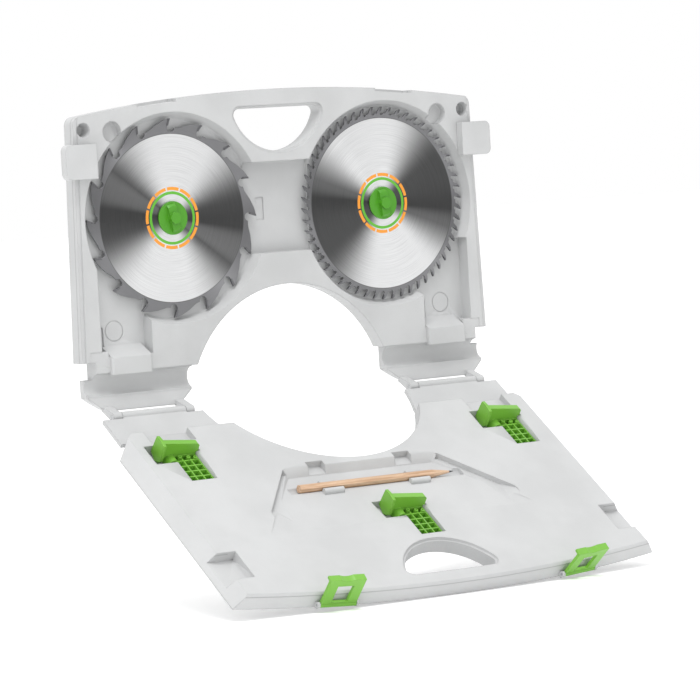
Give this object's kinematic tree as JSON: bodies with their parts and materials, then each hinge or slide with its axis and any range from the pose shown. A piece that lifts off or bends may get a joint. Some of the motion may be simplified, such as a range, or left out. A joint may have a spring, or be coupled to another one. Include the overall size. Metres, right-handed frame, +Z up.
{
  "type": "saw blade storage case",
  "caption": "Hinged, latched case that clamps on a stand's rail and holds circular saw blades on locking hubs, with splinter guards and a pencil in its lid.",
  "frame": {"origin": "on the axis of the stand's cross rail, midway along the case", "axes": "+X along the rail to the viewer's right, +Y to the back, +Z up"},
  "size_m": [0.49, 0.3038, 0.4747],
  "materials": {
    "grey_plastic": "fine grain",
    "green_plastic": "semi-gloss",
    "blade_steel": "ground in circles",
    "carbide": "ground",
    "pin_steel": "drawn",
    "pencil_wood": "natural cedar",
    "graphite": "graphite"
  },
  "bodies": {
    "back": {"back_half": "grey_plastic", "leg_clip_left": "grey_plastic", "leg_clip_right": "grey_plastic", "hinge_pin_left": "pin_steel", "hinge_pin_right": "pin_steel"},
    "lid": {"lid": "grey_plastic", "latch_pin_left": "pin_steel", "latch_pin_right": "pin_steel"},
    "latch_left": {"latch_left": "green_plastic"},
    "latch_right": {"latch_right": "green_plastic"},
    "rip_blade": {"rip_blade": "blade_steel", "rip_blade_tips": "carbide"},
    "fine_blade": {"fine_blade": "blade_steel", "fine_blade_tips": "carbide"},
    "hub_knob_left": {"hub_knob_left": "green_plastic"},
    "hub_knob_right": {"hub_knob_right": "green_plastic"},
    "splinter_guard_left": {"splinter_guard_left": "green_plastic"},
    "splinter_guard_middle": {"splinter_guard_middle": "green_plastic"},
    "splinter_guard_right": {"splinter_guard_right": "green_plastic"},
    "pencil": {"pencil_wood": "pencil_wood", "pencil_lead": "graphite"}
  },
  "joints": [
    {"name": "lid_hinge", "type": "hinge", "parent": "back", "child": "lid", "pos_m": [0, -0.0153, -0.03], "axis": [-1, 0, 0], "range_deg": [0, 125.1]},
    {"name": "latch_left_swing", "type": "hinge", "parent": "lid", "child": "latch_left", "pos_m": [-0.137, -0.26066, -0.19877], "axis": [0.9956, -0.0765, -0.0537], "range_deg": [-6.6, 80]},
    {"name": "latch_right_swing", "type": "hinge", "parent": "lid", "child": "latch_right", "pos_m": [0.137, -0.26066, -0.19877], "axis": [0.9956, 0.0765, 0.0537], "range_deg": [-15.5, 80]},
    {"name": "rip_blade_lift", "type": "slide", "parent": "back", "child": "rip_blade", "axis": [0, 1, 0], "range_m": [-0.06, 0]},
    {"name": "fine_blade_lift", "type": "slide", "parent": "back", "child": "fine_blade", "axis": [0, 1, 0], "range_m": [-0.06, 0]},
    {"name": "hub_knob_left_turn", "type": "hinge", "parent": "rip_blade", "child": "hub_knob_left", "pos_m": [-0.122, 0, 0.152], "axis": [0, 1, 0], "range_deg": [0, 90]},
    {"name": "hub_knob_right_turn", "type": "hinge", "parent": "fine_blade", "child": "hub_knob_right", "pos_m": [0.122, 0, 0.152], "axis": [0, 1, 0], "range_deg": [0, 90]},
    {"name": "splinter_guard_left_lift", "type": "slide", "parent": "lid", "child": "splinter_guard_left", "axis": [0, 0.575, -0.8181], "range_m": [-0.04, 0]},
    {"name": "splinter_guard_middle_lift", "type": "slide", "parent": "lid", "child": "splinter_guard_middle", "axis": [0, 0.575, -0.8181], "range_m": [-0.04, 0]},
    {"name": "splinter_guard_right_lift", "type": "slide", "parent": "lid", "child": "splinter_guard_right", "axis": [0, 0.575, -0.8181], "range_m": [-0.04, 0]},
    {"name": "pencil_lift", "type": "slide", "parent": "lid", "child": "pencil", "axis": [0, 0.575, -0.8181], "range_m": [-0.04, 0]}
  ]
}
